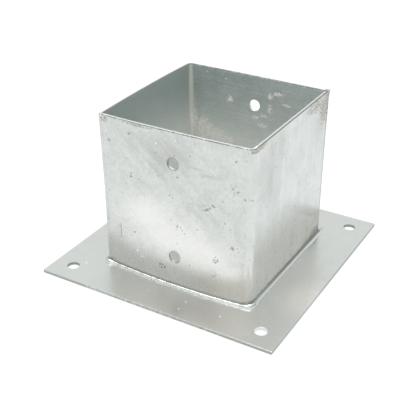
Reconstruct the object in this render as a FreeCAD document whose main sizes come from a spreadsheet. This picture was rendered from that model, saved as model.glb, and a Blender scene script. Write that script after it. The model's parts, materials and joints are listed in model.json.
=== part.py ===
import FreeCAD
import Part
import Sketcher
import math
import os

# Bolt-down base for a square timber post, hot-dip galvanised.
# Two folded angles stand on a square plate and close into a sleeve. A corner seam joins them at
# each open corner, and four fillet runs join the sleeve to the plate, each run carried round the
# corner where it ends. +Z is up, the origin is the centre of the plate's underside, and the
# bolt holes through the post face -Y and +Y.

SIZES = {
    "post_side": 120.0,          # planed square post
    "post_gap": 0.5,             # play between the post and each wall
    "sheet_gauge": 2.5,          # sleeve walls
    "sleeve_rise": 127.5,        # walls above the plate
    "bend_radius": 2.5,          # inside of each fold
    "plate_side": 200.0,
    "plate_gauge": 2.5,
    "anchor_bore": 11.0,         # holes for M10 anchors
    "anchor_inset": 16.75,       # hole centre to each plate edge
    "bolt_bore": 11.0,           # holes for the bolts through the post
    "upper_bolt_drop": 25.0,     # hole centre below the rim
    "lower_bolt_rise": 24.5,     # hole centre above the plate
    "drain_bore": 11.0,          # lets zinc and rain run out of the sleeve
    "foot_leg": 3.0,             # leg of the fillet runs
    "foot_crown": 0.4,           # how far a fillet's face stands proud of its chord
    "seam_nose": 1.25,           # rounding of the corner seams
    "seam_cap": 0.8,             # how far a seam's last drop stands above the rim
}
SHEET = "Sizes."
HALF_INSIDE = "(Sizes.post_side / 2 + Sizes.post_gap)"
HALF_SLEEVE = "(Sizes.post_side / 2 + Sizes.post_gap + Sizes.sheet_gauge)"
OUTER_BEND = "(Sizes.bend_radius + Sizes.sheet_gauge)"
ANCHOR_REACH = "(Sizes.plate_side / 2 - Sizes.anchor_inset)"
UPPER_BOLT_HEIGHT = "(Sizes.plate_gauge + Sizes.sleeve_rise - Sizes.upper_bolt_drop)"
LOWER_BOLT_HEIGHT = "(Sizes.plate_gauge + Sizes.lower_bolt_rise)"
FACE_RADIUS = "((Sizes.foot_leg ^ 2 / 2 + Sizes.foot_crown ^ 2) / (2 * Sizes.foot_crown))"

START, END, CENTRE = range(1, 4)  # the points of a sketch edge
ORIGIN = (-1, START)              # a sketch's own origin

doc = FreeCAD.newDocument("post_base")
sizes = doc.addObject("Spreadsheet::Sheet", "Sizes")
for row, (alias, size) in enumerate(SIZES.items(), start=1):
    sizes.set("A%d" % row, alias)
    sizes.set("B%d" % row, str(size))
    sizes.setAlias("B%d" % row, alias)
doc.recompute()


def value(expression):
    return float(sizes.evalExpression(expression))


def new_body(label, yaw=0.0):
    body = doc.addObject("PartDesign::Body", label)
    body.Label = label
    body.Placement = FreeCAD.Placement(
        FreeCAD.Vector(0, 0, 0), FreeCAD.Rotation(FreeCAD.Vector(0, 0, 1), yaw))
    return body


def origin_part(body, role):
    return next(part for part in body.Origin.OriginFeatures if part.Role == role)


def new_sketch(body, name, plane, offsets=None):
    """A sketch on one of the body's own planes, moved along its own axes by expressions."""
    sketch = body.newObject("Sketcher::SketchObject", name)
    sketch.AttachmentSupport = [(origin_part(body, plane), "")]
    sketch.MapMode = "FlatFace"
    for axis, expression in (offsets or {}).items():
        sketch.setExpression("AttachmentOffset.Base." + axis, expression)
    doc.recompute()
    return sketch


def add_line(sketch, start, end):
    return sketch.addGeometry(
        Part.LineSegment(FreeCAD.Vector(*start, 0), FreeCAD.Vector(*end, 0)))


def add_arc(sketch, centre, radius, first_angle, last_angle):
    circle = Part.Circle(FreeCAD.Vector(*centre, 0), FreeCAD.Vector(0, 0, 1), radius)
    return sketch.addGeometry(
        Part.ArcOfCircle(circle, math.radians(first_angle), math.radians(last_angle)))


def relate(sketch, kind, *references):
    sketch.addConstraint(Sketcher.Constraint(kind, *references))


def measure(sketch, kind, *references, size):
    """Add a dimension and bind it to the sheet."""
    index = sketch.addConstraint(Sketcher.Constraint(kind, *references, value(size)))
    sketch.setExpression("Constraints[%d]" % index, size)


def join(sketch, *edges, kind="Coincident"):
    """Join each edge's end to the next edge's start."""
    for first, second in zip(edges, edges[1:]):
        relate(sketch, kind, first, END, second, START)


def new_pad(body, sketch, name, length):
    pad = body.newObject("PartDesign::Pad", name)
    pad.Profile = sketch
    pad.setExpression("Length", length)
    doc.recompute()
    return pad


def drill(body, sketch, name, bore, gauge, count=1):
    """Cut a sketch's holes on the far side of its plane, and see that metal went."""
    before = body.Shape.Volume
    pocket = body.newObject("PartDesign::Pocket", name)
    pocket.Profile = sketch
    pocket.Type = "ThroughAll"
    pocket.Reversed = True
    doc.recompute()
    cut = before - body.Shape.Volume
    expected = count * math.pi * value(bore) ** 2 / 4 * value(gauge)
    if abs(cut - expected) > 0.01 * expected:
        raise RuntimeError("%s cut %.1f mm3, not %.1f" % (name, cut, expected))
    return pocket


def make_base_plate():
    body = new_body("base_plate")
    blank = new_sketch(body, "plate_blank", "XY_Plane")
    half = value("Sizes.plate_side") / 2
    corners = [(-half, -half), (half, -half), (half, half), (-half, half)]
    edges = [add_line(blank, corners[i], corners[(i + 1) % 4]) for i in range(4)]
    join(blank, *edges, edges[0])
    for edge in edges[0::2]:
        relate(blank, "Horizontal", edge)
    for edge in edges[1::2]:
        relate(blank, "Vertical", edge)
    relate(blank, "Symmetric", edges[0], START, edges[2], START, *ORIGIN)
    measure(blank, "DistanceX", edges[0], START, edges[0], END, size="Sizes.plate_side")
    measure(blank, "DistanceY", edges[1], START, edges[1], END, size="Sizes.plate_side")
    new_pad(body, blank, "plate", "Sizes.plate_gauge")

    drain = new_sketch(body, "drain_centre", "XY_Plane")
    hole = drain.addGeometry(Part.Circle(
        FreeCAD.Vector(0, 0, 0), FreeCAD.Vector(0, 0, 1), value("Sizes.drain_bore") / 2))
    relate(drain, "Coincident", hole, CENTRE, *ORIGIN)
    measure(drain, "Diameter", hole, size="Sizes.drain_bore")
    drill(body, drain, "drain_hole", "Sizes.drain_bore", "Sizes.plate_gauge")

    anchor = new_sketch(body, "anchor_centre", "XY_Plane")
    reach = value(ANCHOR_REACH)
    hole = anchor.addGeometry(Part.Circle(
        FreeCAD.Vector(reach, reach, 0), FreeCAD.Vector(0, 0, 1), value("Sizes.anchor_bore") / 2))
    measure(anchor, "DistanceX", *ORIGIN, hole, CENTRE, size=ANCHOR_REACH)
    measure(anchor, "DistanceY", *ORIGIN, hole, CENTRE, size=ANCHOR_REACH)
    measure(anchor, "Diameter", hole, size="Sizes.anchor_bore")
    first = drill(body, anchor, "anchor_hole", "Sizes.anchor_bore", "Sizes.plate_gauge")

    pattern = body.newObject("PartDesign::PolarPattern", "anchor_holes")
    pattern.Originals = [first]
    pattern.Axis = (origin_part(body, "Z_Axis"), [""])
    pattern.Angle = 360
    pattern.Occurrences = 4
    body.Tip = pattern


def make_angle(label, yaw):
    """One folded half of the sleeve: a leg facing -Y with the bolt holes, and one facing +X."""
    body = new_body(label, yaw)
    section = new_sketch(body, "angle_section", "XY_Plane", {"z": "Sizes.plate_gauge"})
    inside, outside = value(HALF_INSIDE), value(HALF_SLEEVE)
    inner_radius, outer_radius = value("Sizes.bend_radius"), value(OUTER_BEND)
    centre = (outside - outer_radius, outer_radius - outside)
    outer_bend = add_arc(section, centre, outer_radius, 270, 360)
    inner_bend = add_arc(section, centre, inner_radius, 270, 360)
    front_out = add_line(section, (-inside, -outside), (centre[0], -outside))
    side_out = add_line(section, (outside, centre[1]), (outside, inside))
    side_end = add_line(section, (outside, inside), (inside, inside))
    side_in = add_line(section, (inside, inside), (inside, centre[1]))
    front_in = add_line(section, (centre[0], -inside), (-inside, -inside))
    front_end = add_line(section, (-inside, -inside), (-inside, -outside))

    join(section, side_out, side_end, side_in)
    join(section, front_in, front_end, front_out)
    relate(section, "Tangent", front_out, END, outer_bend, START)
    relate(section, "Tangent", outer_bend, END, side_out, START)
    relate(section, "Tangent", side_in, END, inner_bend, END)
    relate(section, "Tangent", inner_bend, START, front_in, START)
    relate(section, "Coincident", inner_bend, CENTRE, outer_bend, CENTRE)
    for edge in (front_out, side_end, front_in):
        relate(section, "Horizontal", edge)
    for edge in (side_out, front_end, side_in):
        relate(section, "Vertical", edge)
    measure(section, "Radius", inner_bend, size="Sizes.bend_radius")
    measure(section, "Radius", outer_bend, size=OUTER_BEND)
    measure(section, "DistanceX", *ORIGIN, side_out, START, size=HALF_SLEEVE)
    measure(section, "DistanceY", front_out, START, *ORIGIN, size=HALF_SLEEVE)
    measure(section, "DistanceX", front_end, START, *ORIGIN, size=HALF_INSIDE)
    measure(section, "DistanceY", *ORIGIN, side_end, START, size=HALF_INSIDE)
    new_pad(body, section, "folded_sheet", "Sizes.sleeve_rise")

    bolts = new_sketch(body, "bolt_centres", "XZ_Plane")
    for height in (UPPER_BOLT_HEIGHT, LOWER_BOLT_HEIGHT):
        hole = bolts.addGeometry(Part.Circle(
            FreeCAD.Vector(0, value(height), 0), FreeCAD.Vector(0, 0, 1),
            value("Sizes.bolt_bore") / 2))
        relate(bolts, "Vertical", hole, CENTRE, *ORIGIN)
        measure(bolts, "DistanceY", *ORIGIN, hole, CENTRE, size=height)
        measure(bolts, "Diameter", hole, size="Sizes.bolt_bore")
    drill(body, bolts, "bolt_holes", "Sizes.bolt_bore", "Sizes.sheet_gauge", count=2)


def make_corner_seam(label, yaw):
    """The weld that fills the open corner at -X -Y, from the plate to a drop above the rim."""
    body = new_body(label, yaw)
    section = new_sketch(body, "seam_section", "XY_Plane", {"z": "Sizes.plate_gauge"})
    inside, outside, nose = value(HALF_INSIDE), value(HALF_SLEEVE), value("Sizes.seam_nose")
    centre = (nose - outside, nose - outside)
    round_nose = add_arc(section, centre, nose, 180, 270)
    front = add_line(section, (centre[0], -outside), (-inside, -outside))
    front_root = add_line(section, (-inside, -outside), (-inside, -inside))
    side_root = add_line(section, (-inside, -inside), (-outside, -inside))
    side = add_line(section, (-outside, -inside), (-outside, centre[1]))
    join(section, front, front_root, side_root, side)
    relate(section, "Tangent", side, END, round_nose, START)
    relate(section, "Tangent", round_nose, END, front, START)
    for edge in (front, side_root):
        relate(section, "Horizontal", edge)
    for edge in (front_root, side):
        relate(section, "Vertical", edge)
    measure(section, "Radius", round_nose, size="Sizes.seam_nose")
    measure(section, "DistanceX", side, END, *ORIGIN, size=HALF_SLEEVE)
    measure(section, "DistanceY", front, START, *ORIGIN, size=HALF_SLEEVE)
    measure(section, "DistanceX", front_root, END, *ORIGIN, size=HALF_INSIDE)
    measure(section, "DistanceY", front_root, END, *ORIGIN, size=HALF_INSIDE)
    bead = new_pad(body, section, "seam_bead", "Sizes.sleeve_rise + Sizes.seam_cap")

    top = bead.Shape.BoundBox.ZMax
    rim_edges = ["Edge%d" % (number + 1) for number, edge in enumerate(bead.Shape.Edges)
                 if edge.BoundBox.ZMin > top - 1e-6]
    drop = body.newObject("PartDesign::Fillet", "seam_drop")
    drop.Base = (bead, rim_edges)
    drop.setExpression("Radius", "0.9 * min(Sizes.seam_cap; Sizes.seam_nose; Sizes.sheet_gauge / 2)")


def make_foot_run(label, yaw, start_radius, corner_radius):
    """A fillet along the foot of one wall, carried round the corner where it ends."""
    body = new_body(label, yaw)
    outside, radius = value(HALF_SLEEVE), value(corner_radius)
    start = value(start_radius) - outside
    turn = outside - radius
    path = new_sketch(body, "run_path", "XY_Plane", {"z": "Sizes.plate_gauge"})
    along = add_line(path, (start, -outside), (turn, -outside))
    corner = add_arc(path, (turn, -turn), radius, 270, 360)
    relate(path, "Horizontal", along)
    relate(path, "Tangent", along, END, corner, START)
    relate(path, "Horizontal", corner, CENTRE, corner, END)
    measure(path, "Radius", corner, size=corner_radius)
    measure(path, "DistanceX", *ORIGIN, corner, END, size=HALF_SLEEVE)
    measure(path, "DistanceY", along, START, *ORIGIN, size=HALF_SLEEVE)
    measure(path, "DistanceX", along, START, *ORIGIN, size=HALF_SLEEVE + " - " + start_radius)

    section = new_sketch(body, "run_section", "YZ_Plane", {
        "x": "-" + HALF_SLEEVE,
        "y": "Sizes.plate_gauge",
        "z": start_radius + " - " + HALF_SLEEVE})
    leg, face_radius = value("Sizes.foot_leg"), value(FACE_RADIUS)
    set_back = (face_radius - value("Sizes.foot_crown")) / math.sqrt(2)
    centre = (set_back - leg / 2, leg / 2 - set_back)
    sweep = math.degrees(math.asin(leg / math.sqrt(2) / face_radius))
    wall_leg = add_line(section, (0, 0), (0, leg))
    face = add_arc(section, centre, face_radius, 135 - sweep, 135 + sweep)
    plate_leg = add_line(section, (-leg, 0), (0, 0))
    join(section, wall_leg, face, plate_leg, wall_leg)
    relate(section, "Coincident", wall_leg, START, *ORIGIN)
    relate(section, "Vertical", wall_leg)
    relate(section, "Horizontal", plate_leg)
    measure(section, "DistanceY", wall_leg, START, wall_leg, END, size="Sizes.foot_leg")
    measure(section, "DistanceX", plate_leg, START, plate_leg, END, size="Sizes.foot_leg")
    measure(section, "Radius", face, size=FACE_RADIUS)

    run = body.newObject("PartDesign::AdditivePipe", "fillet_run")
    run.Profile = section
    run.Spine = (path, ["Edge1", "Edge2"])


make_base_plate()
make_angle("front_angle", 0)
make_angle("rear_angle", 180)
make_corner_seam("left_corner_seam", 0)
make_corner_seam("right_corner_seam", 180)
make_foot_run("front_foot_weld", 0, "Sizes.seam_nose", OUTER_BEND)
make_foot_run("right_foot_weld", 90, OUTER_BEND, "Sizes.seam_nose")
make_foot_run("rear_foot_weld", 180, "Sizes.seam_nose", OUTER_BEND)
make_foot_run("left_foot_weld", 270, OUTER_BEND, "Sizes.seam_nose")
doc.recompute()

failed = [item.Label for item in doc.Objects if {"Invalid", "Error"} & set(item.State)]
if failed:
    raise RuntimeError("not computed: " + ", ".join(failed))
bodies = [item for item in doc.Objects if item.TypeId == "PartDesign::Body"]
for body in bodies:
    if body.Shape.isNull() or not body.Shape.isValid() or len(body.Shape.Solids) != 1:
        raise RuntimeError(body.Label + " is not one valid solid")

os.makedirs("parts", exist_ok=True)
for body in bodies:
    body.Shape.exportStep(os.path.join("parts", body.Label + ".step"))
    box = body.Shape.BoundBox
    print("%-18s %9.1f mm3  %s  %s" % (
        body.Label, body.Shape.Volume,
        [round(v, 2) for v in (box.XMin, box.YMin, box.ZMin)],
        [round(v, 2) for v in (box.XMax, box.YMax, box.ZMax)]))
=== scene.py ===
import json
import math
import bmesh
import bpy
from mathutils import Matrix, Vector, noise


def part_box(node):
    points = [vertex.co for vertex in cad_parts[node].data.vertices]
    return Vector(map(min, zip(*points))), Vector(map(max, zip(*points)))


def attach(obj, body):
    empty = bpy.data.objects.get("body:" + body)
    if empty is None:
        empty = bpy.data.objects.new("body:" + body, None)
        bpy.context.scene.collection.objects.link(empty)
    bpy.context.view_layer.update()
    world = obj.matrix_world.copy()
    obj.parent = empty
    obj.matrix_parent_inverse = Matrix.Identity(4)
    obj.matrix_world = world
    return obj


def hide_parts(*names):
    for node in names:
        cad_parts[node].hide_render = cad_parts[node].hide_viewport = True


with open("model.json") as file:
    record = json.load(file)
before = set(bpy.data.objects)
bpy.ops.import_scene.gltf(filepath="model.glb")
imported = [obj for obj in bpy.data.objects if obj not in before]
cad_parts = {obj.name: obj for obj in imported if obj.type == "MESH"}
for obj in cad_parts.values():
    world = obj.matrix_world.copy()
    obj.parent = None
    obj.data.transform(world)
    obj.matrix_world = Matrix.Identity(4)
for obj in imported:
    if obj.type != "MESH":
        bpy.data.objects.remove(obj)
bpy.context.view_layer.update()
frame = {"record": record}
print("frame loaded")

mm = 0.001
mounts = {mount["name"]: mount for mount in frame["record"]["mounts"]}


def ease(t):
    t = min(max(t, 0.0), 1.0)
    return t * t * (3 - 2 * t)


def ripple(point, wavelength, seed):
    # smooth unevenness from -1 to 1, the same on every run; the seed moves it along to a fresh place
    return noise.noise(Vector(point) / wavelength + Vector((seed, seed * 0.37, seed * 1.71)))


def quarterTurn(share):
    # the outward direction at a share of the way round a corner, from the -Y side to the +X side
    angle = (share - 1) * math.pi / 2
    return Vector((math.cos(angle), math.sin(angle), 0))


def finishPiece(name, bm, finish, cadNode):
    bmesh.ops.remove_doubles(bm, verts=bm.verts[:], dist=0.01 * mm)
    bmesh.ops.recalc_face_normals(bm, faces=bm.faces[:])
    mesh = bpy.data.meshes.new(name)
    bm.to_mesh(mesh)
    bm.free()
    mesh.materials.append(finish)
    mesh.polygons.foreach_set("use_smooth", [True] * len(mesh.polygons))
    piece = bpy.data.objects.new(name, mesh)
    bpy.context.scene.collection.objects.link(piece)
    weighted = piece.modifiers.new("flatFaces", "WEIGHTED_NORMAL")
    weighted.keep_sharp = False
    weighted.weight = 100
    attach(piece, "root")
    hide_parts(cadNode)
    print("made", name, len(mesh.polygons), "faces")
    return piece


def linear(hexColour):
    # an sRGB colour such as "#dedcd7" as the linear values that a shader takes
    channels = [int(hexColour[i:i + 2], 16) / 255 for i in (1, 3, 5)]
    return tuple(c / 12.92 if c <= 0.04045 else ((c + 0.055) / 1.055) ** 2.4 for c in channels) + (1.0,)


def add(tree, kind, inputs, **settings):
    # one shader node with its settings; each input is a value or another node's output
    made = tree.nodes.new("ShaderNode" + kind)
    for setting, value in settings.items():
        setattr(made, setting, value)
    for socket, value in inputs.items():
        if isinstance(value, bpy.types.NodeSocket):
            tree.links.new(value, made.inputs[socket])
        else:
            made.inputs[socket].default_value = value
    return made.outputs


sheetFinish = {
    # the colour of the clean patches, partly bright zinc and partly a painted sheen
    "brightZincAndSheen": "#f2ece6",
    "zinc": "#dedcd7",
    "dullZinc": "#c8c6c0",
    # the colour of the dusky patches, partly painted shade
    "duskyAndShadeZinc": "#a6a199",
    # inside the sleeve: a lit copy of the zinc, painted light, and a shaded copy for the painted shade
    # towards the rim
    "insideLitZinc": "#f4f4f0",
    "insideShadedZinc": "#9ca6a3",
    # the colour of the painted highlight along the inner bend of the back corner
    "foldHighlightZinc": "#dcdacf",
    "pitGrey": "#5d5e57",
    "edgeGrey": "#696b63",
    "speck": "#f6f7f4",
    "oxideTan": "#a0978a",
    "insideOxide": "#eee9e2",
    # widths in mm
    "cloudWidth": 16.0,
    "mottleWidth": 2.6,
    "grainWidth": 0.9,       # the real grain is finer, and is drawn this coarse so that it shows
    "streakAngle": -42.0,    # degrees
    "streakLength": 28.0,
    "streakDepth": 10.0,
    "streakWidth": 3.5,
    "runLength": 70.0,
    "runWidth": 6.0,
    "gritWidth": 1.6,
    "scratchLength": 26.0,
    "scratchWidth": 0.8,
    # zones of the object, each fading in from the first place to the second, in mm
    "sleeveFrom": (5.0, 8.0),          # height above the ground
    "sideWallsFrom": (57.0, 60.0),     # out from the middle, either way along X
    "frontWallFrom": (-50.0, -56.0),   # along Y
    "darkInside": (38.0, 128.0),       # height inside the sleeve over which painted shade darkens it
    "lessDarkInside": (-10.0, 60.0),   # along X, where the painted shade eases off
    "lessDarkShare": 0.72,
    "plateCalm": 0.45,                 # share of the wall's mottling that the plate has
    "cleanKeeps": 0.25,                # share of the dullness left in the middle of a clean patch, which is partly a painted sheen
    "metallic": 0.95,
    "insideMetallic": 0.4,
    "brightRoughness": 0.22,
    "dullRoughness": 0.34,
    "reliefHeight": 0.1 * mm,
    "reliefStrength": 0.4,
    "sideRelief": 0.25,
}

# marks on the zinc: where each patch sits and how far it reaches each way, in mm
sheetMarks = {
    # the clean patches are partly bright zinc and partly a painted sheen, laid where the walls and plate
    # reflect the bright floor
    "cleanAndSheen": [((-2, -63, 44), (66, 16, 32)), ((24, -63, 36), (50, 16, 27)), ((-22, -63, 54), (44, 16, 30)),
              ((48, -63, 22), (28, 14, 28)), ((94, -34, 2.5), (26, 36, 10))],
    # the dusky patches are partly dusky zinc and partly painted shade: dark reflections near the walls' tops
    # and on the plate in front of the sleeve
    "duskyAndShade": [((63, -36, 106), (10, 30, 44)), ((63, -20, 116), (10, 14, 24)), ((63, 50, 106), (8, 20, 22)),
              ((-4, -63, 112), (30, 8, 22)), ((30, -63, 102.5), (15, 8, 2.6)),
              ((19, -63, 106), (12, 8, 2.4)), ((30, -88, 2.5), (50, 28, 4))],
    "streaked": [((-14, -63, 108), (50, 20, 36)), ((24, -63, 72), (34, 20, 26)),
                 ((-30, 63, 80), (50, 20, 50))],
    # a painted highlight along the inner bend of the back corner
    "foldHighlightLine": [((-60.5, 60.5, 66), (3.9, 3.9, 95))],
    "tan": [((62, 58, 119), (7, 24, 28)), ((62, 40, 126), (7, 34, 12)), ((62, -54, 128), (7, 20, 4)),
            ((-59, -64, 127), (8, 8, 5)), ((-30, -63, 128.4), (28, 8, 1.8)), ((-37, -63, 121), (5, 8, 3))],
    "insideTan": [((-48, 60, 75), (17, 4, 20)), ((-34, 60, 70), (18, 4, 15)), ((-57, 60, 80), (7, 4, 18)),
                  ((-24, 60, 69), (13, 4, 8)), ((14, 60, 115), (5, 4, 6)), ((21, 60, 118.5), (9, 4, 4)),
                  ((1, 60, 94.5), (7, 4, 3.2)), ((9, 60, 97.5), (6, 4, 3.6)), ((14, 60, 104), (4, 4, 8)),
                  ((8, 60, 88.5), (9, 4, 3.4)), ((29, 60, 110.5), (9, 4, 2.5)), ((-23, 60, 106), (6, 4, 6)),
                  ((-60, 30, 76), (4, 9, 8))],
    "pitted": [((29, -63, 77), (7, 8, 4)), ((-11, -63, 16), (5, 8, 3)), ((48, -63, 49), (4, 8, 3)),
               ((35, -63, 35), (4, 8, 4)), ((60, -63, 91), (5, 6, 1.6)),
               ((-55, -63, 111), (2.4, 6, 2.6)), ((5, -63, 95), (2.5, 6, 2)), ((4, -63, 53), (5, 8, 4)),
               ((36, -63, 21), (6, 8, 4)), ((48, -63, 97), (6, 6, 5))],
    # the second one, low on the +X wall, is a dark smear along the top of the far end of its bead
    "flows": [((-49.7, -63, 35), (0.6, 6, 9)), ((63, 57, 5), (4, 21, 9)), ((1.4, -63, 111.5), (0.9, 6, 0.9)),
              ((14.4, -63, 114.7), (0.9, 6, 0.9)), ((-13, -63, 92), (0.9, 6, 0.9)),
              ((-55.2, -63, 110.9), (1.3, 6, 1.3))],
    "bright": [((-27, 60, 123), (1.1, 3, 1.1)), ((-45, 60, 126), (0.9, 3, 0.9)),
               ((-60, 4, 123), (3, 0.9, 0.9)),
               ((-77, -75, 2.5), (1.0, 1.0, 2)), ((19, -80, 2.5), (1.0, 1.0, 2)),
               ((19, -90, 2.5), (0.9, 0.9, 2)), ((50, -83, 2.5), (1.0, 1.0, 2)),
               ((-30, -63, 18), (1.6, 4, 1.2)), ((-34, -63, 22), (1.2, 4, 1.4))],
}

# the larger pits on the front wall: across, up, and half their width, in mm
largePits = [
    # the slanting row in the middle
    (26.2, 74.5, 1.2), (28.0, 75.7, 1.3), (29.8, 77.2, 1.1), (32.3, 79.7, 1.2), (33.4, 79.0, 0.9),
    # the cluster below the lower bolt hole
    (-12.8, 17.0, 1.2), (-10.7, 17.4, 1.0), (-8.5, 15.7, 1.3), (-11.2, 14.5, 1.0),
    # low on the wall
    (33.6, 35.1, 1.0), (36.2, 35.6, 0.8), (34.5, 32.9, 1.0), (-36.6, 37.3, 1.1), (47.8, 49.1, 1.3),
    (52.2, 50.1, 0.7), (2.1, 53.6, 0.8), (5.1, 53.7, 0.7),
    # higher up
    (-3.9, 78.8, 0.8), (-1.5, 77.2, 0.8), (-37.5, 85.4, 1.4), (-36.8, 87.9, 0.9), (57.5, 91.1, 1.1),
    (48.6, 92.9, 0.8), (3.5, 95.2, 1.0), (51.9, 95.8, 1.0), (50.1, 118.8, 1.0),
]


def patchMask(tree, inMm, patches, softness):
    # 1 at the middle of each patch, fading to 0 at its reach
    total = None
    for centre, reach in patches:
        local = add(tree, "Mapping", {"Vector": inMm, "Scale": tuple(1 / r for r in reach),
                                      "Location": tuple(-c / r for c, r in zip(centre, reach))})[0]
        away = add(tree, "VectorMath", {0: local}, operation="LENGTH")["Value"]
        here = add(tree, "MapRange", {"Value": away, "From Min": 1.0, "From Max": 1.0 - softness},
                   interpolation_type="SMOOTHSTEP")[0]
        total = here if total is None else add(tree, "Math", {0: total, 1: here}, operation="MAXIMUM")[0]
    return total


def dots(tree, inMm, spacing, size, share, seed):
    # scattered dots with ragged edges; spacing and size in mm, share is how many of the places have one
    fraying = 1.9
    moved = add(tree, "Mapping", {"Vector": inMm, "Location": (seed, seed * 2.3, -seed)})[0]
    fray = add(tree, "TexNoise", {"Vector": moved, "Scale": 0.8, "Detail": 3.0})["Color"]
    ragged = add(tree, "VectorMath", {0: fray, 1: (fraying, fraying, fraying), 2: moved},
                 operation="MULTIPLY_ADD")[0]
    cells = add(tree, "TexVoronoi", {"Vector": ragged, "Scale": 1 / spacing})
    dot = add(tree, "MapRange", {"Value": cells["Distance"], "From Min": size / spacing,
                                 "From Max": 0.5 * size / spacing})[0]
    chance = add(tree, "SeparateColor", {"Color": cells["Color"]})[0]
    chosen = add(tree, "Math", {0: chance, 1: share}, operation="LESS_THAN")[0]
    return add(tree, "Math", {0: dot, 1: chosen}, operation="MULTIPLY")[0]


def pitMask(tree, inMm, pits):
    # single pits with frayed edges, laid out flat on the front wall
    fraying = 1.6
    fray = add(tree, "TexNoise", {"Vector": inMm, "Scale": 0.9, "Detail": 3.0})["Color"]
    flat = add(tree, "VectorMath", {0: fray, 1: (fraying, 0, fraying), 2: inMm},
               operation="MULTIPLY_ADD")[0]
    flat = add(tree, "VectorMath", {0: flat, 1: (1, 0, 1)}, operation="MULTIPLY")[0]
    total = None
    for across, up, reach in pits:
        # the fraying moves every pit by half its amount
        middle = (across + fraying / 2, 0, up + fraying / 2)
        away = add(tree, "VectorMath", {0: flat, 1: middle}, operation="DISTANCE")["Value"]
        here = add(tree, "MapRange", {"Value": away, "From Min": reach, "From Max": 0.5 * reach})[0]
        total = here if total is None else add(tree, "Math", {0: total, 1: here}, operation="MAXIMUM")[0]
    return total


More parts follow.
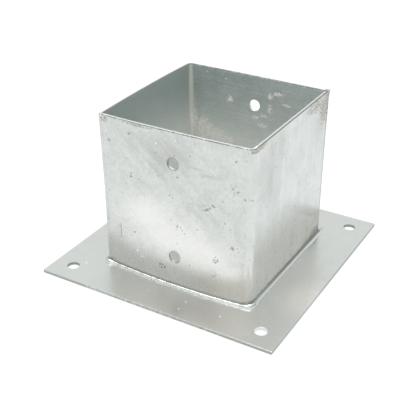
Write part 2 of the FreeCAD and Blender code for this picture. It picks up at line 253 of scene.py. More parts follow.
def galvanisedSheet():
    # hot-dip galvanised mild steel sheet: a semi-bright zinc skin, cloudy where it froze, with runs, pits and
    # a little tan oxide; inside the sleeve it cooled slowly and is duller and more matt
    look = sheetFinish
    finish = bpy.data.materials.new("hotDipGalvanisedSheet")
    finish.use_nodes = True
    tree = finish.node_tree
    tree.nodes.clear()
    place = add(tree, "TexCoord", {})["Object"]
    inMm = add(tree, "Mapping", {"Vector": place, "Scale": (1000, 1000, 1000)})[0]
    spot = add(tree, "SeparateXYZ", {0: inMm})
    inside = add(tree, "Attribute", {}, attribute_name="inside")["Fac"]
    edge = add(tree, "Attribute", {}, attribute_name="edge")["Fac"]

    # zones: the sleeve, its side walls, its front and back walls, its outside, and the front wall's outside
    start, end = look["sleeveFrom"]
    onSleeve = add(tree, "MapRange", {"Value": spot["Z"], "From Min": start, "From Max": end})[0]
    fromMiddle = add(tree, "Math", {0: spot["X"]}, operation="ABSOLUTE")[0]
    start, end = look["sideWallsFrom"]
    sideways = add(tree, "MapRange", {"Value": fromMiddle, "From Min": start, "From Max": end})[0]
    upright = add(tree, "Math", {0: 1.0, 1: sideways}, operation="SUBTRACT")[0]
    outside = add(tree, "Math", {0: 1.0, 1: inside}, operation="SUBTRACT")[0]
    outside = add(tree, "Math", {0: outside, 1: onSleeve}, operation="MULTIPLY")[0]
    start, end = look["frontWallFrom"]
    onFront = add(tree, "MapRange", {"Value": spot["Y"], "From Min": start, "From Max": end})[0]
    onFront = add(tree, "Math", {0: onFront, 1: outside}, operation="MULTIPLY")[0]

    # patterns: clouds, mottle, grain and crumbs are even; streaks, runs and scratches are drawn out
    clouds = add(tree, "TexNoise", {"Vector": inMm, "Scale": 1 / look["cloudWidth"], "Detail": 5.0,
                                    "Roughness": 0.6, "Distortion": 0.7})[0]
    mottle = add(tree, "TexNoise", {"Vector": inMm, "Scale": 1 / look["mottleWidth"], "Detail": 4.0,
                                    "Roughness": 0.7, "Distortion": 0.4})[0]
    grain = add(tree, "TexNoise", {"Vector": inMm, "Scale": 1 / look["grainWidth"], "Detail": 2.0})[0]
    crumbs = add(tree, "TexNoise", {"Vector": inMm, "Scale": 1 / look["gritWidth"], "Detail": 5.0,
                                    "Roughness": 0.75})[0]
    turned = add(tree, "Mapping", {"Vector": inMm, "Rotation": (0, math.radians(look["streakAngle"]), 0)})[0]
    drawn = []
    for source, stretch, distortion in (
            (turned, (look["streakLength"], look["streakDepth"], look["streakWidth"]), 0.3),
            (inMm, (look["runWidth"], look["runWidth"], look["runLength"]), 0.4),
            (inMm, (look["scratchLength"], look["scratchLength"], look["scratchWidth"]), 0.6)):
        squeezed = add(tree, "Mapping", {"Vector": source, "Scale": tuple(1 / width for width in stretch)})[0]
        drawn.append(add(tree, "TexNoise", {"Vector": squeezed, "Scale": 1.0, "Detail": 3.0,
                                            "Distortion": distortion})[0])
    streaks, runs, scratches = drawn

    # dullness gathers the layers: 0 is bright flowing zinc and 1 is frosted zinc; the plate lay flat and is
    # calmer
    dullness = add(tree, "MapRange", {"Value": clouds, "From Min": 0.34, "From Max": 0.68, "To Max": 0.34},
                   interpolation_type="SMOOTHSTEP")[0]
    combed = add(tree, "Math", {0: patchMask(tree, inMm, sheetMarks["streaked"], 0.8), 1: upright},
                 operation="MULTIPLY")[0]
    layers = (
        # pattern, where it starts and is full, its weight, and the zone it lies on
        (streaks, 0.44, 0.70, 0.45, combed),
        (runs, 0.42, 0.72, 0.28, sideways),
        (mottle, 0.40, 0.72, 0.52, upright),
        (mottle, 0.44, 0.80, 0.15, sideways),
        (grain, 0.40, 0.80, 0.30, upright),
        (grain, 0.40, 0.80, 0.08, sideways),
    )
    for pattern, low, full, weight, zone in layers:
        part = add(tree, "MapRange", {"Value": pattern, "From Min": low, "From Max": full,
                                      "To Max": weight})[0]
        dullness = add(tree, "Math", {0: part, 1: zone, 2: dullness}, operation="MULTIPLY_ADD")[0]
    calm = add(tree, "MapRange", {"Value": onSleeve, "To Min": look["plateCalm"], "To Max": 1.0})[0]
    dullness = add(tree, "Math", {0: dullness, 1: calm}, operation="MULTIPLY")[0]
    # clean patches: brighter, glossier zinc, partly a painted sheen where the walls and plate catch bright
    # reflections
    cleanAndSheen = patchMask(tree, inMm, sheetMarks["cleanAndSheen"], 0.9)
    kept = add(tree, "MapRange", {"Value": cleanAndSheen, "To Min": 1.0, "To Max": look["cleanKeeps"]})[0]
    dullness = add(tree, "Math", {0: dullness, 1: kept}, operation="MULTIPLY", use_clamp=True)[0]

    # dusky clouds, partly dusky zinc and partly painted shade, a dark reflection on the plate in front of the
    # sleeve and near the walls' tops; pits and specks
    duskyAndShade = patchMask(tree, inMm, sheetMarks["duskyAndShade"], 0.9)
    lone = add(tree, "Math", {0: dots(tree, inMm, 5.5, 0.75, 0.35, 3.0), 1: outside}, operation="MULTIPLY")[0]
    pitted = add(tree, "Math", {0: dots(tree, inMm, 2.2, 0.95, 0.8, 11.0),
                                1: patchMask(tree, inMm, sheetMarks["pitted"], 0.5)}, operation="MULTIPLY")[0]
    for extra in (lone, patchMask(tree, inMm, sheetMarks["flows"], 0.6)):
        pitted = add(tree, "Math", {0: pitted, 1: extra}, operation="MAXIMUM")[0]
    spotted = add(tree, "Math", {0: pitMask(tree, inMm, largePits), 1: onFront}, operation="MULTIPLY")[0]
    specks = add(tree, "Math", {0: dots(tree, inMm, 5.5, 0.55, 0.3, 47.0), 1: onFront},
                 operation="MULTIPLY")[0]
    specks = add(tree, "Math", {0: specks, 1: patchMask(tree, inMm, sheetMarks["bright"], 0.6)},
                 operation="MAXIMUM")[0]

    # oxide stains: dense crumbs at the middle of a stain thin out towards its reach
    stains = []
    for patches, density in ((sheetMarks["tan"], 0.24), (sheetMarks["insideTan"], 0.245)):
        spread = add(tree, "Math", {0: patchMask(tree, inMm, patches, 0.75), 1: density, 2: crumbs},
                     operation="MULTIPLY_ADD")[0]
        stains.append(add(tree, "MapRange", {"Value": spread, "From Min": 0.67, "From Max": 0.75})[0])
    oxide, insideOxide = stains

    # edges: above 0 the attribute is a dark lip, worn through in places, and below 0 a painted highlight in
    # the pale speck colour
    worn = add(tree, "MapRange", {"Value": mottle, "From Min": 0.36, "From Max": 0.56, "To Min": 0.35})[0]
    worn = add(tree, "Math", {0: worn, 1: sideways}, operation="MAXIMUM")[0]
    edgeLine = add(tree, "Math", {0: edge, 1: 0.8}, operation="MULTIPLY", use_clamp=True)[0]
    edgeLine = add(tree, "Math", {0: edgeLine, 1: worn}, operation="MULTIPLY")[0]
    paintedHighlight = add(tree, "Math", {0: edge, 1: -0.8}, operation="MULTIPLY", use_clamp=True)[0]

    # inside, the skin is painted light, and painted shade darkens it towards the rim and towards -X; it is
    # also finely crystalline and scored along the sheet
    start, end = look["darkInside"]
    towardsRim = add(tree, "MapRange", {"Value": spot["Z"], "From Min": start, "From Max": end},
                     interpolation_type="SMOOTHSTEP")[0]
    start, end = look["lessDarkInside"]
    lessDark = add(tree, "MapRange", {"Value": spot["X"], "From Min": start, "From Max": end,
                                      "To Min": 1.0, "To Max": look["lessDarkShare"]})[0]
    insideShade = add(tree, "Math", {0: inside, 1: towardsRim}, operation="MULTIPLY")[0]
    insideShade = add(tree, "Math", {0: insideShade, 1: lessDark}, operation="MULTIPLY")[0]
    lighter = add(tree, "MapRange", {"Value": clouds, "From Min": 0.40, "From Max": 0.66, "To Max": 0.3})[0]
    for pattern, low, full, weight in ((scratches, 0.50, 0.72, 0.4), (crumbs, 0.40, 0.68, 0.55)):
        part = add(tree, "MapRange", {"Value": pattern, "From Min": low, "From Max": full,
                                      "To Max": weight})[0]
        lighter = add(tree, "Math", {0: lighter, 1: part}, operation="ADD")[0]
    textured = add(tree, "MapRange", {"Value": upright, "To Min": 0.3, "To Max": 1.0})[0]
    textured = add(tree, "Math", {0: textured, 1: inside}, operation="MULTIPLY")[0]
    insideLight = add(tree, "Math", {0: lighter, 1: textured}, operation="MULTIPLY", use_clamp=True)[0]
    insideDark = add(tree, "Math", {0: textured, 1: insideLight}, operation="SUBTRACT")[0]
    # the inner bend of the back corner is painted lighter, a painted highlight
    foldHighlight = add(tree, "Math", {0: patchMask(tree, inMm, sheetMarks["foldHighlightLine"], 0.35), 1: inside},
               operation="MULTIPLY")[0]

    colour = add(tree, "Mix", {0: cleanAndSheen, 6: linear(look["zinc"]), 7: linear(look["brightZincAndSheen"])},
                 data_type="RGBA")[2]
    coats = (
        # where it lies, how strongly it covers, and its colour
        (dullness, 1.0, "dullZinc"),
        (duskyAndShade, 0.33, "duskyAndShadeZinc"),
        (inside, 1.0, "insideLitZinc"),
        (insideShade, 1.0, "insideShadedZinc"),
        (insideLight, 0.42, "insideLitZinc"),
        (insideDark, 0.24, "insideShadedZinc"),
        (foldHighlight, 0.7, "foldHighlightZinc"),
        (pitted, 0.5, "pitGrey"),
        (spotted, 0.6, "pitGrey"),
        (specks, 0.8, "speck"),
        (oxide, 0.85, "oxideTan"),
        (insideOxide, 0.9, "insideOxide"),
        (edgeLine, 1.0, "edgeGrey"),
        (paintedHighlight, 1.0, "speck"),
    )
    for amount, strength, shade in coats:
        share = add(tree, "Math", {0: amount, 1: strength}, operation="MULTIPLY")[0]
        colour = add(tree, "Mix", {0: share, 6: colour, 7: linear(look[shade])}, data_type="RGBA")[2]

    flatZinc = add(tree, "Math", {0: 1.0, 1: onSleeve}, operation="SUBTRACT")[0]
    roughness = add(tree, "MapRange", {"Value": dullness, "To Min": look["brightRoughness"],
                                       "To Max": look["dullRoughness"]})[0]
    metallic = add(tree, "MapRange", {"Value": inside, "To Min": look["metallic"],
                                      "To Max": look["insideMetallic"]})[0]
    changes = (
        # where it lies, the roughness it adds, and the metallic look it takes away
        (inside, 0.15, 0.0),
        (flatZinc, 0.05, 0.0),
        (specks, 0.1, 0.6),
        (pitted, 0.25, 0.3),
        (oxide, 0.35, 0.5),
        (insideOxide, 0.35, 0.4),
        (foldHighlight, 0.1, 0.1),
        (edgeLine, 0.3, 0.4),
        (paintedHighlight, 0.0, -0.5),
    )
    for amount, rough, lost in changes:
        roughness = add(tree, "Math", {0: amount, 1: rough, 2: roughness}, operation="MULTIPLY_ADD")[0]
        metallic = add(tree, "Math", {0: amount, 1: -lost, 2: metallic}, operation="MULTIPLY_ADD",
                       use_clamp=True)[0]

    # only the mottle stands up and only the pits go down; the finer patterns are too shallow to feel
    relief = add(tree, "MapRange", {"Value": sideways, "To Min": 1.0, "To Max": look["sideRelief"]})[0]
    relief = add(tree, "Math", {0: relief, 1: calm}, operation="MULTIPLY")[0]
    height = add(tree, "Math", {0: mottle, 1: relief}, operation="MULTIPLY")[0]
    height = add(tree, "Math", {0: pitted, 1: -0.8, 2: height}, operation="MULTIPLY_ADD")[0]
    bump = add(tree, "Bump", {"Height": height, "Strength": look["reliefStrength"],
                              "Distance": look["reliefHeight"]})[0]
    shader = add(tree, "BsdfPrincipled", {"Base Color": colour, "Metallic": metallic, "Roughness": roughness,
                                          "Normal": bump})[0]
    add(tree, "OutputMaterial", {"Surface": shader})
    return finish


weldFinish = {
    "zinc": "#f7f7f5",
    "dullZinc": "#dcdeda",
    "shadeGrey": "#6a6d67",
    "lumpWidth": 1.8,    # mm
    "metallic": 0.95,
    "roughness": 0.20,
    "toeRoughness": 0.3,    # added where the toe is painted dark
    "reliefHeight": 0.2 * mm,
    "reliefStrength": 0.5,
}


def galvanisedWeld():
    # hot-dip galvanised MIG weld bead: zinc runs thick and glossy over its ripples, so it glints; its toes
    # and groove are painted dark, painted shade
    look = weldFinish
    finish = bpy.data.materials.new("hotDipGalvanisedWeldBead")
    finish.use_nodes = True
    tree = finish.node_tree
    tree.nodes.clear()
    place = add(tree, "TexCoord", {})["Object"]
    inMm = add(tree, "Mapping", {"Vector": place, "Scale": (1000, 1000, 1000)})[0]
    toe = add(tree, "Attribute", {}, attribute_name="edge")["Fac"]
    lumps = add(tree, "TexNoise", {"Vector": inMm, "Scale": 1 / look["lumpWidth"], "Detail": 3.0})[0]
    colour = add(tree, "Mix", {0: lumps, 6: linear(look["zinc"]), 7: linear(look["dullZinc"])},
                 data_type="RGBA")[2]
    colour = add(tree, "Mix", {0: toe, 6: colour, 7: linear(look["shadeGrey"])}, data_type="RGBA")[2]
    roughness = add(tree, "Math", {0: toe, 1: look["toeRoughness"], 2: look["roughness"]},
                    operation="MULTIPLY_ADD")[0]
    bump = add(tree, "Bump", {"Height": lumps, "Strength": look["reliefStrength"],
                              "Distance": look["reliefHeight"]})[0]
    shader = add(tree, "BsdfPrincipled", {"Base Color": colour, "Metallic": look["metallic"],
                                          "Roughness": roughness, "Normal": bump})[0]
    add(tree, "OutputMaterial", {"Surface": shader})
    return finish


sheetSteel = galvanisedSheet()
weldSteel = galvanisedWeld()
print("finishes made")


def stations(*runs):
    # positions along one side of a blank: each run is a start, an end and a number of cells
    found = [runs[0][0]]
    for start, end, cells in runs:
        found += [start + (end - start) * (i + 1) / cells for i in range(cells)]
    return found


punching = {
    "holeMargin": 2.4 * mm,    # cells this near a hole's edge make way for it
    "edgeSegments": 3,
    "sharpFrom": 60,           # degrees
    "lipReach": 0.75,          # the lip's width and depth, as shares of the bore's rounding
    "lipDepth": 0.9,
    "boreHighlight": 2.5,         # how quickly the painted highlight in the bore grows downwards
    "boreHighlightFrom": 0.3,
}


def punchedBlank(across, along, holes, gauge, look):
    # a flat sheet on the XY plane, thick upwards, with punched holes and slightly broken edges; the rim is
    # its last row, and the other sides are given their own rounding
    bm = bmesh.new()
    columns, rows = len(across) - 1, len(along) - 1
    bmesh.ops.create_grid(bm, x_segments=columns, y_segments=rows, size=0.5)
    for vert in bm.verts:
        column = round((vert.co.x + 0.5) * columns)
        row = round((vert.co.y + 0.5) * rows)
        vert.co = Vector((across[column], along[row], 0))
    for centreX, centreY, bore in holes:
        reach = bore * 0.5 + punching["holeMargin"]
        near = [face for face in bm.faces
                if abs(face.calc_center_median().x - centreX) < reach
                and abs(face.calc_center_median().y - centreY) < reach]
        inside = set(near)
        border = [edge for edge in bm.edges if sum(face in inside for face in edge.link_faces) == 1]
        bmesh.ops.delete(bm, geom=near, context="FACES")
        # the ring is bridged a little above the sheet, so both loops run the same way, and then laid flat
        ring = bmesh.ops.create_circle(bm, cap_ends=False, radius=bore * 0.5, segments=len(border),
                                       matrix=Matrix.Translation((centreX, centreY, bore)))["verts"]
        ringEdges = list({edge for vert in ring for edge in vert.link_edges})
        bmesh.ops.bridge_loops(bm, edges=border + ringEdges)
        bmesh.ops.translate(bm, verts=ring, vec=(0, 0, -bore))
    bmesh.ops.recalc_face_normals(bm, faces=bm.faces[:])
    skin = bmesh.ops.extrude_face_region(bm, geom=bm.faces[:], use_keep_orig=True)["geom"]
    bmesh.ops.translate(bm, verts=[item for item in skin if isinstance(item, bmesh.types.BMVert)],
                        vec=(0, 0, gauge))
    bmesh.ops.recalc_face_normals(bm, faces=bm.faces[:])
    for part in ("rimRound", "sideRound", "boreRound"):
        sharp = []
        for line in bm.edges:
            middle = (line.verts[0].co + line.verts[1].co) / 2
            if any(math.hypot(middle.x - x, middle.y - y) < bore * 0.6 for x, y, bore in holes):
                kind = "boreRound"
            else:
                kind = "rimRound" if middle.y > along[-1] - 0.01 * mm else "sideRound"
            turn = math.degrees(line.calc_face_angle(0)) if len(line.link_faces) == 2 else 0
            if kind == part and turn > punching["sharpFrom"]:
                sharp.append(line)
        bmesh.ops.bevel(bm, geom=sharp, offset=look[part], offset_type="OFFSET", affect="EDGES",
                        segments=punching["edgeSegments"], profile=0.5, material=-1, clamp_overlap=True)
    return bm


def holeEdge(spotX, spotY, depth, holes, boreRound):
    # 1 on the lip of a punched hole on the side it was punched from, drawn as a dark lip, and below 0 low in
    # its bore, a painted highlight where its lower side faces the light
    for x, y, bore in holes:
        away = math.hypot(spotX - x, spotY - y) - bore / 2
        if away < punching["lipReach"] * boreRound:
            if depth < punching["lipDepth"] * boreRound:
                return 1.0
            return min(0.0, punching["boreHighlight"] * (spotY - y) / bore + punching["boreHighlightFrom"])
    return 0.0


basePlate = {
    "cell": 2.5 * mm,
    "rimRound": 0.4 * mm,
    "sideRound": 0.4 * mm,
    "boreRound": 0.2 * mm,
    "zincInBore": 0.7 * mm,    # zinc gathers in the punched holes and narrows them
    "darkBore": 0.8,           # above 0 is a dark lip and below 0 a painted highlight
    "highlightBore": -0.4,
    "lowerEdgeDark": 0.9,
    "upperEdgeDark": 0.5,
    "waviness": 0.12 * mm,
    "wavelength": 60 * mm,
    "flatMargin": 15 * mm,     # the sheet is flat at its rim and wavy from here inwards
    "floorInside": 0.3,        # how far the floor of the sleeve has the inner walls' finish, with its painted light
}


def makeBasePlate():
    low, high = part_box("base_plate")
    side, gauge = high.x - low.x, high.z - low.z
    anchor = mounts["anchor_holes"]["dims"]
    bore = 2 * (anchor["hole_r_mm"] * mm - basePlate["zincInBore"])
    reachX, reachY = anchor["spacing_x_mm"] * mm / 2, anchor["spacing_y_mm"] * mm / 2
    holes = [(x, y, bore) for x in (-reachX, reachX) for y in (-reachY, reachY)]
    holes.append((0, 0, bore))   # drain
    lines = stations((low.x, high.x, round(side / basePlate["cell"])))
    bm = punchedBlank(lines, lines, holes, gauge, basePlate)
    inside = bm.verts.layers.float.new("inside")
    edge = bm.verts.layers.float.new("edge")
    sleeve = -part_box("front_angle")[0].x
    for vert in bm.verts:
        fromMiddle = max(abs(vert.co.x), abs(vert.co.y))
        vert[inside] = basePlate["floorInside"] if fromMiddle < sleeve else 0.0
        # the plate's bores are dark inside, as its sheared sides are; the front right one has a painted
        # highlight instead
        boreDarkOrHighlight = basePlate["highlightBore"] if vert.co.x > 0 > vert.co.y else basePlate["darkBore"]
        vert[edge] = boreDarkOrHighlight * holeEdge(vert.co.x, vert.co.y, 0, holes, basePlate["boreRound"])
        # the plate's sheared side is drawn dark, darker on its lower half
        if fromMiddle > high.x - 0.5 * basePlate["sideRound"]:
            upper = vert.co.z > gauge / 2
            vert[edge] = basePlate["upperEdgeDark"] if upper else basePlate["lowerEdgeDark"]
        # the sheet is never dead flat, but its rim stays in its own thickness
        inward = ease(min(high.x - abs(vert.co.x), high.y - abs(vert.co.y)) / basePlate["flatMargin"])
        sag = ripple((vert.co.x, vert.co.y, 0), basePlate["wavelength"], 3.1) - 0.5
        vert.co.z += low.z + (sag * basePlate["waviness"] * inward if vert.co.z > gauge / 2 else 0)
    return finishPiece("basePlate", bm, sheetSteel, "base_plate")


foldedAngle = {
    "cell": 2.3 * mm,
    "bendCells": 10,
    "outerBend": 5.0 * mm,
    "rimRound": 0.6 * mm,
    "sideRound": 0.15 * mm,
    "boreRound": 0.5 * mm,
    "zincInBore": 0.8 * mm,
    "rimRow": 1.3 * mm,        # a narrow row under the rim keeps its dark lip sharp
    "holeDarkAndHighlight": 1.6,
    "burrDirtAndHighlight": 3.0,
    # how strong the +X rim's painted highlight may grow
    "rightRimHighlight": 0.5,
    "waviness": 0.10 * mm,
    "wavelength": 38 * mm,
    "flatMargin": 8 * mm,
    "footBow": 3.2 * mm,
    "rimBow": 1.5 * mm,
    "bowFade": 3,              # how fast the bow fades with height
    "bowFullness": 2.2,        # how full it is along the wall
    "footHollow": 1.3 * mm,
    "hollowAt": 0.30,          # share of the wall's height
    "hollowFullness": 8,
    "cornerSpring": (-0.2 * mm, -1.7 * mm),    # how far the left corner stands off at the rim
    "leftWallBow": 1.4 * mm,
    "backSpring": 0.7 * mm,
    "springFrom": 45 * mm,     # height where it begins
    "springGrowth": 1.5,       # how it grows with height, and eases off along the walls
    "springFade": 4,           # how fast it fades away from the corner
}


def wallBow(along, height):
    # welding heat flared the wall at its foot and left it slightly hollow above; along runs from -1 to 1 and
    # height from 0 to 1
    look = foldedAngle
    along = min(abs(along), 1.0)
    swell = look["rimBow"] + (look["footBow"] - look["rimBow"]) * (1 - height) ** look["bowFade"]
    above = look["hollowAt"]
    rise = height / above if height < above else (1 - height) / (1 - above)
    hollow = look["footHollow"] * math.sin(rise * math.pi / 2) ** 2
    return swell * (1 - along ** look["bowFullness"]) - hollow * (1 - along ** look["hollowFullness"])


sleeveReach = -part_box("left_corner_seam")[0].x
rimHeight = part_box("front_angle")[1].z


def sprung(spot):
    # the sleeve's open left corner sprang outwards towards the rim before it was welded
    look = foldedAngle
    growth, fade = look["springGrowth"], look["springFade"]
    rise = max(0.0, (spot.z - look["springFrom"]) / (rimHeight - look["springFrom"])) ** growth
    left = min(max((sleeveReach - spot.x) / (2 * sleeveReach), 0), 1)
    front = min(max((sleeveReach - spot.y) / (2 * sleeveReach), 0), 1)
    cornerX, cornerY = look["cornerSpring"]
    bow = look["leftWallBow"] * 4 * front * (1 - front)
    sideways = cornerX * front - look["backSpring"] * (1 - front) - bow
    return Vector((sideways * left ** fade, cornerY * left ** growth * front ** fade, 0)) * rise


def makeAngle(name, cadNode, yaw, bowShare, burrInside, burrWidth):
    # the shear left a dark burr along the rim, on the outer or the inner side, and beside it the rim's top is
    # a painted highlight
    look = foldedAngle
    low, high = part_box("front_angle")
    outside, legEnd = high.x, -low.x
    gauge = outside - legEnd
    bend = look["outerBend"]
    centre = outside - bend
    leg = centre + legEnd
    arc = (bend - gauge / 2) * math.pi / 2
    rise = high.z - low.z
    legCells = round(leg / look["cell"])
    across = stations((0, leg, legCells), (leg, leg + arc, look["bendCells"]),
                      (leg + arc, 2 * leg + arc, legCells))
    lastRow = rise - look["rimRow"]
    along = stations((0, lastRow, round(rise / look["cell"])), (lastRow, rise, 1))
    bolts = mounts["front_bolt_holes"]
    pitch, middle = bolts["dims"]["spacing_y_mm"] * mm, bolts["pos_m"][2] - low.z
    bore = 2 * (bolts["dims"]["hole_r_mm"] * mm - look["zincInBore"])
    holes = [(legEnd, middle + pitch / 2, bore), (legEnd, middle - pitch / 2, bore)]
    bm = punchedBlank(across, along, holes, gauge, look)
    turn = Matrix.Rotation(math.radians(yaw), 4, "Z")
    inside = bm.verts.layers.float.new("inside")
    edge = bm.verts.layers.float.new("edge")
    for vert in bm.verts:
        u, v, depth = vert.co
        vert[inside] = depth / gauge
        fromBurr = gauge - depth if burrInside else depth
        vert[edge] = look["holeDarkAndHighlight"] * holeEdge(u, v, depth, holes, look["boreRound"])
        if v > rise - 0.95 * look["rimRound"]:
            vert[edge] = look["burrDirtAndHighlight"] * (1.0 - fromBurr / burrWidth)
            # the painted highlight on the +X rim is held fainter
            if u > leg + arc and not burrInside:
                vert[edge] = max(vert[edge], -look["rightRimHighlight"])
        push = 0.0
        if u < leg:
            spot, normal = Vector((u - legEnd, -outside, 0)), Vector((0, -1, 0))
            push = bowShare * wallBow(spot.x / legEnd, v / rise)
        elif u > leg + arc:
            spot, normal = Vector((outside, u - leg - arc - centre, 0)), Vector((1, 0, 0))
        else:
            normal = quarterTurn((u - leg) / arc)
            spot = Vector((centre, -centre, 0)) + normal * bend
        calm = ease(min(u, 2 * leg + arc - u, v) / look["flatMargin"])
        push += calm * look["waviness"] * ripple((u, v, yaw), look["wavelength"], 1.7 + yaw)
        vert.co = turn @ (spot + normal * (push - depth) + Vector((0, 0, low.z + v)))
        vert.co += sprung(vert.co)
    return finishPiece(name, bm, sheetSteel, cadNode)


makeBasePlate()
makeAngle("frontAngle", "front_angle", 0, 1.0, False, 0.75 * mm)
makeAngle("rearAngle", "rear_angle", 180, 0.25, True, 1.6 * mm)


def rod(sides, cuts):
    # a closed rod of unit radius along Z from 0 to 1, cut into rings
    bm = bmesh.new()
    bmesh.ops.create_cone(bm, cap_ends=True, cap_tris=False, segments=sides, radius1=1, radius2=1, depth=1,
                          matrix=Matrix.Translation((0, 0, 0.5)))
    lengthwise = [line for line in bm.edges if abs(line.verts[0].co.z - line.verts[1].co.z) > 0.5]
    bmesh.ops.subdivide_edges(bm, edges=lengthwise, cuts=cuts, use_grid_fill=False)
    return bm


footBead = {
    "legUp": 1.6 * mm,
    "legOut": 2.8 * mm,
    "crown": 0.8 * mm,
    "ripplePitch": 2.3 * mm,
    "rippleDepth": 0.08 * mm,
    "rippleBend": 0.4,           # how far each ripple runs ahead at the middle of the face
    "lumps": 0.30 * mm,
    "lumpLength": 7 * mm,
    "grainLength": 3 * mm,
    # bands on its face, by their place and width from the wall toe at 0 to the plate toe at 1
    "groove": 0.22 * mm,
    "grooveBand": (0.62, 0.10),
    # painted shade on the bead: dark at its wall toe, along its groove, and over a flat bead
    "wallToeShade": 0.75,
    "wallToeShadeTo": (0.36, 0.60),  # how far it reaches on a full bead, and on a flat one
    "splitShine": 0.8,           # the painted shade of a flat bead breaks for a light line along it
    "splitBand": (0.30, 0.08),
    "splitLength": 32.0 * mm,    # and it fades this far from its start
    "grooveShade": 0.85,            # a full bead has a painted shade line along its groove
    "lineBand": (0.65, 0.10),
    "flatShade": 0.15,
    "sides": 28,
    "rings": 420,
}


def band(place, middle, width):
    # 1 at the middle of a band, fading smoothly over its width on both sides
    return math.exp(-((place - middle) / width) ** 2)


def makeFootBead(name, cadNode, yaw, startRadius, cornerRadius, bowShare, hollow, blobs):
    # hollow is 0 for a full bead and nears 1 for a flat one whose wall side is painted dark, painted shade
    look = footBead
    low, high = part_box("front_angle")
    outside, legEnd, foot = high.x, -low.x, low.z
    start, corner = startRadius - outside, outside - cornerRadius
    fullShade, flatShade = look["wallToeShadeTo"]
    straight, arc = corner - start, cornerRadius * math.pi / 2
    length = straight + arc
    turn = Matrix.Rotation(math.radians(yaw), 4, "Z")
    bm = rod(look["sides"], look["rings"])
    edge = bm.verts.layers.float.new("edge")
    for vert in bm.verts:
        s = vert.co.z * length
        if s < straight:
            spot, normal = Vector((start + s, -outside, 0)), Vector((0, -1, 0))
            bow = bowShare * wallBow(spot.x / legEnd, 0.0)
        else:
            normal = quarterTurn((s - straight) / arc)
            spot = Vector((corner, -corner, 0)) + normal * cornerRadius
            bow = 0.0
        swell = 1 + look["lumps"] / look["legOut"] * ripple((s, 0, 0), look["lumpLength"], yaw + 0.3)
        for at, extra, spread in blobs:
            swell += extra * band(s, at * length, spread)
        legUp, legOut = look["legUp"] * swell, look["legOut"] * swell
        q = math.atan2(vert.co.y, vert.co.x) / math.pi
        if q >= 0:
            # the bead's face, from the wall toe at 0 to the plate toe at 1: two low ridges and a groove
            arch = math.sin(q * math.pi)
            ridge = look["crown"] * (1 - hollow) * swell * arch ** 0.7
            ridge -= look["groove"] * band(q, *look["grooveBand"])
            wave = (s / look["ripplePitch"] + look["rippleBend"] * arch) % 1.0
            ridge += look["rippleDepth"] * arch * (wave * wave - 0.33)
            ridge += 0.6 * look["lumps"] * arch * ripple((s, q * 2 * mm, 0), look["grainLength"], yaw + 5.2)
            out, up = legOut * q + ridge * 0.6, legUp * (1 - q) + ridge * 0.8
            # painted shade on the bead's face, kept in the edge attribute
            toe = fullShade + (flatShade - fullShade) * hollow
            darkening = look["wallToeShade"] * (1 - (q / toe) ** 6) if q < toe else 0.0
            split = band(q, *look["splitBand"]) * band(s, 0, look["splitLength"])
            darkening *= 1 - look["splitShine"] * hollow * split
            darkening += look["grooveShade"] * (1 - hollow) * band(q, *look["lineBand"])
            vert[edge] = min(1.0, darkening + look["flatShade"] * hollow)
        elif q > -0.5:
            out, up = -0.2 * mm, legUp * (1 + 2 * q)
        else:
            out, up = -legOut * (1 + 2 * q), -0.1 * mm
        vert.co = turn @ (spot + normal * (out + bow) + Vector((0, 0, foot + up)))
    return finishPiece(name, bm, weldSteel, cadNode)


outerBend = foldedAngle["outerBend"]
noseRadius = 1.25 * mm    # of the corner seams
# the last list of each holds the thicker spots: place along the bead, extra thickness, and spread
makeFootBead("frontFootBead", "front_foot_weld", 0, noseRadius, outerBend, 1.0, 0.0,
             [(0.005, 0.60, 3.0 * mm), (0.975, 0.65, 4.5 * mm)])
makeFootBead("rightFootBead", "right_foot_weld", 90, outerBend, noseRadius, 0.0, 0.85,
             [(0.0, 0.55, 3.5 * mm), (0.86, 0.30, 8.0 * mm), (0.98, 0.4, 3.0 * mm)])
makeFootBead("rearFootBead", "rear_foot_weld", 180, noseRadius, outerBend, 0.25, 0.3,
             [(0.96, 0.45, 4.0 * mm)])
makeFootBead("leftFootBead", "left_foot_weld", 270, outerBend, noseRadius, 0.0, 0.3,
             [(0.975, 0.6, 3.2 * mm)])


cornerBead = {
    "sides": 24,
    "rings": 300,
    "squareness": 9.0,
    "noseDepth": 0.05,
    "ripplePitch": 2.6 * mm,
    "rippleDepth": 0.07 * mm,
    "lumpLength": 6 * mm,
    "lumps": 1.2,              # share of the ripples' depth
    "dropHeight": 0.8 * mm,
    "dropLength": 7 * mm,
    "tipRound": 0.35,
    "tipHeight": 0.6 * mm,
    "darkeningLength": 5 * mm,
    "darkeningChange": 0.15,
    "burrHeight": 0.5 * mm,
    "burrDirtAndHighlight": 2.4,
}


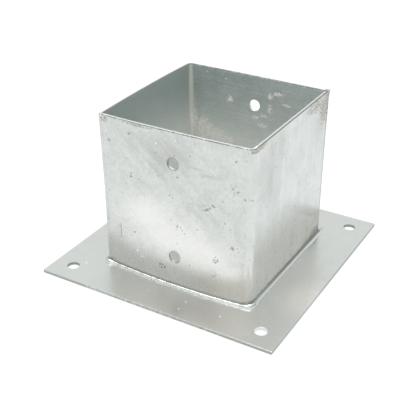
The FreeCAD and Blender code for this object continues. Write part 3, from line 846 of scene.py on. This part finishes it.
def makeCornerBead(name, cadNode, yaw, seed, proud, darkening):
    look = cornerBead
    low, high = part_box("left_corner_seam")
    middle = Vector(((low.x + high.x) / 2, (low.y + high.y) / 2, 0))
    half = (high.x - low.x) / 2
    rise = high.z - low.z - (0 if proud else look["dropHeight"])
    turn = Matrix.Rotation(math.radians(yaw), 4, "Z")
    bm = rod(look["sides"], look["rings"])
    edge = bm.verts.layers.float.new("edge")
    inside = bm.verts.layers.float.new("inside")
    for vert in bm.verts:
        z = vert.co.z * rise
        around = Vector((vert.co.x, vert.co.y)).normalized()
        # a squarish section with a rounder nose towards the outside
        power = look["squareness"]
        reach = (abs(around.x) ** power + abs(around.y) ** power) ** (-1 / power)
        outward = max(0.0, -(around.x + around.y) / math.sqrt(2))
        reach *= 1 - look["noseDepth"] * outward ** 3
        size = half * reach
        wave = ((z / look["ripplePitch"]) % 1.0) ** 2 - 0.33
        wave += look["lumps"] * ripple((0, 0, z), look["lumpLength"], seed)
        size += outward * look["rippleDepth"] * wave
        # the run thickened upwards and ended at the rim in a drop that hangs over
        thickening = ease((z - rise / 2) / (rise / 2))
        drop = ease(1 - (rise - z) / look["dropLength"])
        size += outward * proud * (0.4 * thickening + 0.6 * drop)
        top = 1 - look["tipRound"] * outward * ease(1 - (rise - z) / look["tipHeight"])
        # the seam is drawn darker by the darkening argument, unevenly along its height
        uneven = look["darkeningChange"] * ripple((0, 0, z), look["darkeningLength"], seed + 1)
        vert[edge] = max(0.0, darkening + uneven)
        if z > rise - look["burrHeight"] and not proud:
            vert[edge] = look["burrDirtAndHighlight"] * (outward - 0.5)    # the rim's dark burr runs round the corner, and on its inner side the rim's painted highlight
        vert[inside] = 0.0
        vert.co = turn @ (middle + Vector((around.x * size * top, around.y * size * top, low.z + z)))
        vert.co += sprung(vert.co)
    return finishPiece(name, bm, sheetSteel, cadNode)


makeCornerBead("leftCornerBead", "left_corner_seam", 0, 2.2, 0.0, 0.04)
makeCornerBead("rightCornerBead", "right_corner_seam", 180, 7.9, 1.1 * mm, 0.32)
print("pieces made")


studio = {
    "floorSide": 6.0,
    "floorWhite": "#f2f2f2",
    "floorDiffuseShare": 0.3,
    "floorGlow": (0.895, 0.975, 1.02, 1.0),
    "backdropGlow": (0.82, 0.885, 0.905, 1.0),
    "topLightSide": 1.2,
    "topLightHeight": 1.6,
    "topLightWatts": 21.0,
    "sideLightSide": 0.5,
    "sideLightPlace": (-0.92, -0.27, 1.6),
    "sideLightWatts": 1.5,
    "floorDrop": 0.2 * mm,    # keeps the floor clear of the plate's underside
}


def makeStudio():
    floorPaint = bpy.data.materials.new("mattWhiteBackdropPaper")
    floorPaint.use_nodes = True
    tree = floorPaint.node_tree
    tree.nodes.clear()
    matt = add(tree, "BsdfDiffuse", {"Color": linear(studio["floorWhite"])})[0]
    path = add(tree, "LightPath", {})
    tint = add(tree, "Mix", {0: path["Is Camera Ray"], 6: studio["floorGlow"], 7: (1, 1, 1, 1)},
               data_type="RGBA")[2]
    glow = add(tree, "Emission", {"Color": tint, "Strength": 1.0})[0]
    seen = add(tree, "Math", {0: path["Is Camera Ray"], 1: path["Is Glossy Ray"]}, operation="MAXIMUM")[0]
    share = add(tree, "Math", {0: seen, 1: 1 - studio["floorDiffuseShare"]}, operation="MULTIPLY")[0]
    add(tree, "OutputMaterial", {"Surface": add(tree, "MixShader", {0: share, 1: matt, 2: glow})[0]})
    bm = bmesh.new()
    bmesh.ops.create_grid(bm, x_segments=1, y_segments=1, size=studio["floorSide"] / 2)
    bmesh.ops.translate(bm, verts=bm.verts[:], vec=(0, 0, -studio["floorDrop"]))
    mesh = bpy.data.meshes.new("floor")
    bm.to_mesh(mesh)
    bm.free()
    mesh.materials.append(floorPaint)
    floor = bpy.data.objects.new("floor", mesh)
    bpy.context.scene.collection.objects.link(floor)

    world = bpy.data.worlds.new("whiteStudio")
    bpy.context.scene.world = world
    world.use_nodes = True
    tree = world.node_tree
    tree.nodes.clear()
    path = add(tree, "LightPath", {})
    tint = add(tree, "Mix", {0: path["Is Camera Ray"], 6: studio["backdropGlow"], 7: (1, 1, 1, 1)},
               data_type="RGBA")[2]
    back = add(tree, "Background", {"Color": tint, "Strength": 1.0})[0]
    add(tree, "OutputWorld", {"Surface": back})

    softboxes = (
        ("topSoftbox", (0, 0, studio["topLightHeight"]), studio["topLightSide"], studio["topLightWatts"]),
        ("sideSoftbox", studio["sideLightPlace"], studio["sideLightSide"], studio["sideLightWatts"]),
    )
    for name, place, side, watts in softboxes:
        lamp = bpy.data.lights.new(name, "AREA")
        lamp.size = side
        lamp.energy = watts
        holder = bpy.data.objects.new(name, lamp)
        facing = (-Vector(place)).to_track_quat("-Z", "Y").to_matrix().to_4x4()
        holder.matrix_world = Matrix.Translation(place) @ facing
        bpy.context.scene.collection.objects.link(holder)


camera = {
    "place": (0.2850, -0.5072, 0.3668),
    "aim": (0.0043, -0.0221, 0.0500),
    "roll": 0.22,     # degrees
    "lens": 71.94,    # mm
    "sensor": 36,
    "nearest": 0.01,
}


def makeCamera():
    lens = bpy.data.cameras.new("studioCamera")
    lens.lens = camera["lens"]
    lens.sensor_width = camera["sensor"]
    lens.clip_start = camera["nearest"]
    holder = bpy.data.objects.new("studioCamera", lens)
    sight = Vector(camera["aim"]) - Vector(camera["place"])
    facing = sight.to_track_quat("-Z", "Y").to_matrix().to_4x4()
    roll = Matrix.Rotation(math.radians(camera["roll"]), 4, "Z")
    holder.matrix_world = Matrix.Translation(camera["place"]) @ facing @ roll
    bpy.context.scene.collection.objects.link(holder)
    bpy.context.scene.camera = holder


makeStudio()
makeCamera()
bpy.context.scene.view_settings.view_transform = "Standard"
print("studio ready")
